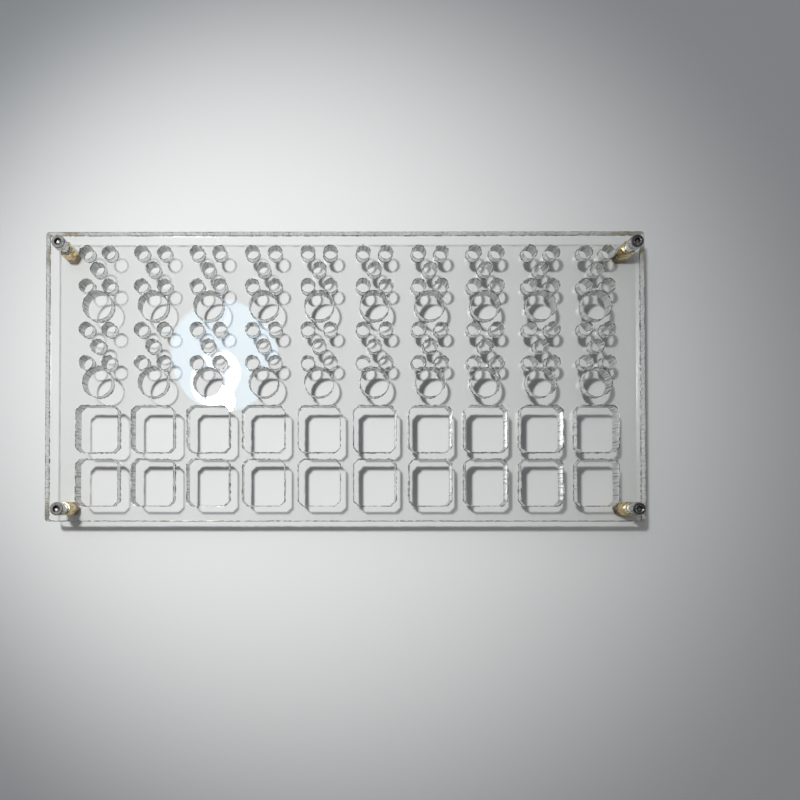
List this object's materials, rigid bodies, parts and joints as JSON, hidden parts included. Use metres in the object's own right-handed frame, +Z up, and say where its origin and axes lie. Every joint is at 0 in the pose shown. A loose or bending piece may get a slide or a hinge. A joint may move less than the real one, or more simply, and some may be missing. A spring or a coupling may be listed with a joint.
{
  "type": "acrylic parts sorting plate",
  "caption": "Clear acrylic plate on short brass legs, with rows of round wells and chamfered square sockets that hold small loose parts upright while they are sorted or worked on.",
  "frame": {"origin": "centre of the footprint, on the surface that the four legs stand on", "axes": "+Z up through the plate, +X to the right along its long side, +Y to the back edge, where the round wells start"},
  "size_m": [0.2, 0.097, 0.0155],
  "materials": {
    "clear_acrylic": "clear cast acrylic, polished faces and laser-cut edges",
    "brass": "turned and milled brass, bright",
    "steel": "stainless steel, satin"
  },
  "bodies": {
    "root": {"well_plate": "clear_acrylic", "leg_front_left": "brass", "leg_front_right": "brass", "leg_back_left": "brass", "leg_back_right": "brass", "screw_front_left": "steel", "screw_front_right": "steel", "screw_back_left": "steel", "screw_back_right": "steel"}
  },
  "joints": []
}
